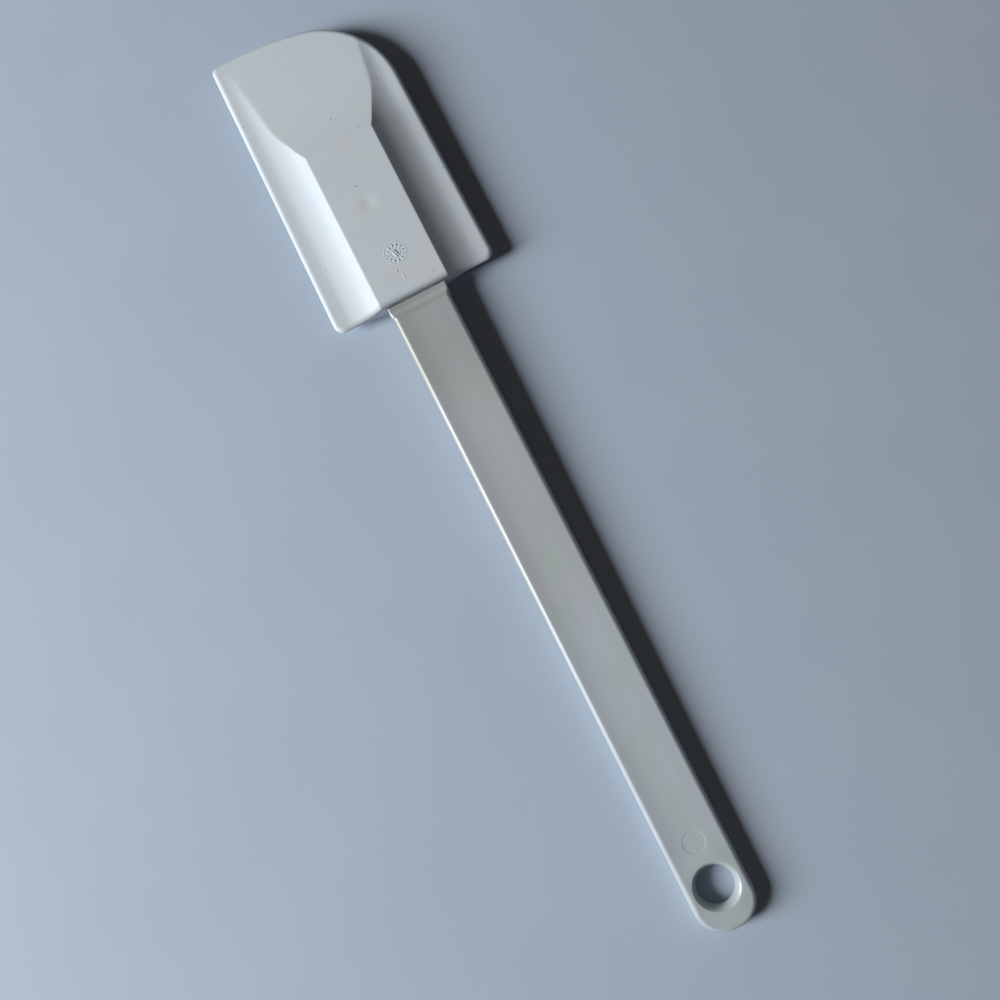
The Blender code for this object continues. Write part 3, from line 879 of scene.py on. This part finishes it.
class Finish:
    """A Principled material, textured by place, and short ways to add nodes to it, in millimetres."""

    # Numbers of a Mix node's sockets for colours, whose names other sockets of the node have too
    MIX_SHARE, MIX_FIRST, MIX_SECOND, MIX_RESULT = 0, 6, 7, 2

    def __init__(self, name):
        self.material = bpy.data.materials.new(name)
        self.material.use_nodes = True
        self.tree = self.material.node_tree
        self.shader = self.tree.nodes["Principled BSDF"]
        self.place = self.node("ShaderNodeTexCoord").outputs["Object"]

    def node(self, kind, inputs=None):
        """A new node with these sockets set or linked, each by its name or its number."""
        node = self.tree.nodes.new(kind)
        for key, value in (inputs or {}).items():
            self.feed(node.inputs[key], value)
        return node

    def feed(self, socket, value):
        if isinstance(value, bpy.types.NodeSocket):
            self.tree.links.new(value, socket)
        else:
            socket.default_value = value

    def set(self, name, value):
        """Set or link one of the Principled shader's own sockets."""
        self.feed(self.shader.inputs[name], value)

    def math(self, operation, first, second=0.0):
        node = self.node("ShaderNodeMath", {0: first, 1: second})
        node.operation = operation
        return node.outputs["Value"]

    def ramp(self, value, span, result=(0.0, 1.0)):
        """The value mapped smoothly from span to result, and clamped there."""
        inputs = {"Value": value, "From Min": span[0], "From Max": span[1]}
        inputs |= {"To Min": result[0], "To Max": result[1]}
        node = self.node("ShaderNodeMapRange", inputs)
        node.interpolation_type = "SMOOTHSTEP"
        return node.outputs["Result"]

    def noise(self, size, detail=2.0, stretch=1.0):
        """Noise with features of this size, drawn out along X by stretch."""
        mapping = self.node("ShaderNodeMapping", {"Vector": self.place, "Scale": (1.0 / stretch, 1.0, 1.0)})
        inputs = {"Vector": mapping.outputs["Vector"], "Scale": 1.0 / (size * MM), "Detail": detail}
        return self.node("ShaderNodeTexNoise", inputs).outputs["Fac"]

    def specks(self, spacing, radius):
        """1 inside specks of about this radius and 0 beyond them."""
        voronoi = self.node("ShaderNodeTexVoronoi", {"Vector": self.place, "Scale": 1.0 / (spacing * MM)})
        share = radius / spacing
        return self.ramp(voronoi.outputs["Distance"], (share, SPECK_CORE * share))

    def millimetres(self, axis):
        """Place along this axis in millimetres, where the scene has it in metres."""
        split = self.node("ShaderNodeSeparateXYZ", {"Vector": self.place})
        return self.math("MULTIPLY", split.outputs[axis], 1.0 / MM)

    def along(self):
        """Place along X from the handle's free end."""
        return self.math("ADD", self.millimetres("X"), LENGTH / 2)

    def across(self):
        """Distance to either side of the centre line."""
        return self.math("ABSOLUTE", self.millimetres("Y"))

    def band(self, place, middle, half_width):
        """1 at the middle, falling to 0 at half_width on both sides of it."""
        offset = self.math("ABSOLUTE", self.math("SUBTRACT", place, middle))
        return self.ramp(offset, (half_width, 0.0))

    def blend(self, share, first, second, kind="MIX"):
        """Two colours mixed by a share, or the first one multiplied by a share of the second."""
        node = self.node("ShaderNodeMix")
        node.data_type = "RGBA"
        node.blend_type = kind
        self.feed(node.inputs[self.MIX_SHARE], share)
        self.feed(node.inputs[self.MIX_FIRST], first)
        self.feed(node.inputs[self.MIX_SECOND], second)
        return node.outputs[self.MIX_RESULT]

    def tinted(self, colour, tints, share):
        """The colour multiplied by a mix of two tints."""
        return self.blend(1.0, colour, self.blend(share, *tints), "MULTIPLY")

    def bump(self, height, depth, below=None):
        """A normal bumped by a height of 0 to 1 that stands for this depth."""
        node = self.node("ShaderNodeBump", {"Height": height, "Distance": depth * MM, "Strength": 1.0})
        if below:
            self.feed(node.inputs["Normal"], below)
        return node.outputs["Normal"]


def handle_colour(finish):
    """Lighter and bluer towards the hole and darker towards the neck, which is painted light for the lamp's
    light falling off along the handle; greyer beside the long edges; banded at the neck, where the band
    beside the blade is painted shade; with a few specks.
    """
    along = finish.along()
    # Painted light: darker towards the neck and lighter towards the hole, as the lamp's light falls off
    # along the handle
    colour = finish.blend(finish.ramp(along, HANDLE_NECK_FADE), HANDLE_NECK_COLOUR, HANDLE_MIDDLE_COLOUR)
    colour = finish.blend(finish.ramp(along, HANDLE_END_FADE), colour, HANDLE_END_COLOUR)
    stripe = finish.band(finish.across(), *HANDLE_EDGE_STRIPE)
    colour = finish.blend(stripe, colour, HANDLE_EDGE_TINT, "MULTIPLY")
    stain = finish.noise(HANDLE_TINT_SIZE, detail=4.0, stretch=HANDLE_TINT_STRETCH)
    colour = finish.tinted(colour, HANDLE_TINTS, finish.ramp(stain, HANDLE_TINT_RANGE))
    # Noise breaks up the strength of the neck's bands; the last band, beside the blade's end, is painted
    # shade
    uneven = finish.ramp(finish.noise(NECK_BAND_BREAKUP_SIZE, detail=3.0), EVEN_RANGE, NECK_BAND_STRENGTH)
    for middle, half_width, band_colour in NECK_TONE_AND_SHADE_BANDS:
        share = finish.math("MULTIPLY", finish.band(along, middle, half_width), uneven)
        colour = finish.blend(share, colour, band_colour)
    return finish.blend(finish.specks(*HANDLE_SPECKS), colour, SPECK_COLOUR)


def handle_finish():
    """Hard off-white plastic, satin, with fine lengthwise flow marks and hairline scratches."""
    finish = Finish("handle_plastic")
    finish.set("Base Color", handle_colour(finish))
    scratches = finish.ramp(finish.noise(SCRATCH_SIZE, detail=1.0, stretch=SCRATCH_STRETCH), SCRATCH_RANGE)
    rubbed = finish.ramp(finish.noise(RUB_SIZE, detail=3.0), RUB_RANGE, HANDLE_ROUGHNESS)
    scratched = finish.math("MULTIPLY", scratches, SCRATCH_ROUGHNESS)
    finish.set("Roughness", finish.math("ADD", rubbed, scratched))
    finish.set("Specular IOR Level", HANDLE_SPECULAR)
    normal = finish.bump(finish.noise(STREAK_SIZE, detail=3.0, stretch=STREAK_STRETCH), STREAK_DEPTH)
    normal = finish.bump(finish.math("SUBTRACT", 1.0, scratches), SCRATCH_DEPTH, normal)
    normal = finish.bump(finish.noise(HANDLE_WAVE_SIZE, detail=1.0), HANDLE_WAVE_DEPTH, normal)
    finish.set("Normal", normal)
    return finish.material


def blade_colour(finish):
    """A little paler towards the tip, faintly mottled and smudged, with a few specks."""
    colour = finish.blend(finish.ramp(finish.along(), BLADE_TIP_FADE), BLADE_COLOUR, BLADE_TIP_COLOUR)
    mottle = finish.ramp(finish.noise(BLADE_TINT_SIZE, detail=4.0), BLADE_TINT_RANGE)
    colour = finish.tinted(colour, BLADE_TINTS, mottle)
    smudge = finish.ramp(finish.noise(SMUDGE_SIZE, detail=3.0), SMUDGE_RANGE, SMUDGE_STRENGTH)
    colour = finish.blend(smudge, colour, BLADE_SMUDGE_COLOUR)
    return finish.blend(finish.specks(*BLADE_SPECKS), colour, SPECK_COLOUR)


def blade_finish():
    """Soft white elastomer, almost matt, with a fine grain."""
    finish = Finish("blade_elastomer")
    finish.set("Base Color", blade_colour(finish))
    sheen = finish.noise(SHEEN_SIZE, detail=4.0)
    finish.set("Roughness", finish.ramp(sheen, EVEN_RANGE, BLADE_ROUGHNESS))
    finish.set("Specular IOR Level", BLADE_SPECULAR)
    normal = finish.bump(finish.noise(GRAIN_SIZE), GRAIN_DEPTH)
    finish.set("Normal", finish.bump(finish.noise(BLADE_WAVE_SIZE), BLADE_WAVE_DEPTH, normal))
    return finish.material


def floor_finish():
    """Plain pale matt floor with a barely uneven tone."""
    finish = Finish("floor")
    tone = finish.ramp(finish.noise(FLOOR_TONE_SIZE, detail=5.0), EVEN_RANGE)
    finish.set("Base Color", finish.blend(tone, FLOOR_COLOUR, FLOOR_TONE_COLOUR))
    finish.set("Roughness", FLOOR_ROUGHNESS)
    finish.set("Normal", finish.bump(finish.noise(FLOOR_GRAIN_SIZE, detail=3.0), FLOOR_GRAIN_DEPTH))
    return finish.material


def make_floor():
    half = FLOOR_SIZE / 2
    corners = [(-half, -half, 0), (half, -half, 0), (half, half, 0), (-half, half, 0)]
    mesh = bpy.data.meshes.new("floor")
    mesh.from_pydata(corners, [], [(0, 1, 2, 3)])
    floor = add_piece(mesh)
    mesh.materials.append(floor_finish())


def larger(tree, first, second):
    """A node that gives the larger of two values."""
    node = tree.nodes.new("ShaderNodeMath")
    node.operation = "MAXIMUM"
    tree.links.new(first, node.inputs[0])
    tree.links.new(second, node.inputs[1])
    return node.outputs["Value"]


def make_world():
    """A dim even fill, over a pale backdrop that only the camera and reflections see."""
    world = bpy.data.worlds.new("studio")
    bpy.context.scene.world = world
    world.use_nodes = True
    tree = world.node_tree
    fill = tree.nodes["Background"]
    fill.inputs["Color"].default_value = (*FILL_COLOUR, 1.0)
    fill.inputs["Strength"].default_value = FILL_STRENGTH
    backdrop = tree.nodes.new("ShaderNodeBackground")
    backdrop.inputs["Color"].default_value = (*BACKDROP_COLOUR, 1.0)
    rays = tree.nodes.new("ShaderNodeLightPath").outputs
    reflected = larger(tree, rays["Is Glossy Ray"], rays["Is Transmission Ray"])
    mix = tree.nodes.new("ShaderNodeMixShader")
    tree.links.new(larger(tree, rays["Is Camera Ray"], reflected), mix.inputs[0])
    tree.links.new(fill.outputs["Background"], mix.inputs[1])
    tree.links.new(backdrop.outputs["Background"], mix.inputs[2])
    tree.links.new(mix.outputs["Shader"], tree.nodes["World Output"].inputs["Surface"])


def make_key_light():
    light = bpy.data.lights.new("key", "AREA")
    light.shape = "RECTANGLE"
    light.size = KEY_WIDTH
    light.size_y = KEY_HEIGHT
    light.energy = KEY_POWER
    lamp = bpy.data.objects.new("key", light)
    bpy.context.scene.collection.objects.link(lamp)
    towards = Vector((
        math.cos(KEY_HEADING) * math.cos(KEY_ELEVATION),
        math.sin(KEY_HEADING) * math.cos(KEY_ELEVATION),
        math.sin(KEY_ELEVATION),
    ))
    lamp.location = towards * KEY_DISTANCE
    lamp.rotation_mode = "QUATERNION"
    lamp.rotation_quaternion = towards.to_track_quat("Z", "Y")
    lamp.visible_camera = False


def make_camera():
    data = bpy.data.cameras.new("camera")
    data.lens = CAMERA_LENS
    data.sensor_width = CAMERA_SENSOR
    data.clip_start = CAMERA_NEAR
    camera = bpy.data.objects.new("camera", data)
    bpy.context.scene.collection.objects.link(camera)
    forward = (CAMERA_AIM - CAMERA_PLACE).normalized()
    right = forward.cross(CAMERA_UP).normalized()
    up = right.cross(forward)
    turn = Matrix((right, up, -forward)).transposed()
    camera.matrix_world = Matrix.Translation(CAMERA_PLACE) @ turn.to_4x4()
    bpy.context.scene.camera = camera


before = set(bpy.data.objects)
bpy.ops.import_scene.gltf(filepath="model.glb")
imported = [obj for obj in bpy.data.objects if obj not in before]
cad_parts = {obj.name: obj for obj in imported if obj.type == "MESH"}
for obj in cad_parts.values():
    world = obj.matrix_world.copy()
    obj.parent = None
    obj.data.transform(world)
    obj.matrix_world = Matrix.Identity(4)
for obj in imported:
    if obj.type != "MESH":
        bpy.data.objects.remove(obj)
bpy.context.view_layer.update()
bpy.context.scene.view_settings.view_transform = "Standard"
handle = add_piece(handle_mesh())
blade = add_piece(blade_mesh())
cut(blade, add_piece(socket_mesh()))
finish_piece(handle, handle_finish(), "handle")
finish_piece(blade, blade_finish(), "blade")
make_floor()
make_world()
make_key_light()
make_camera()
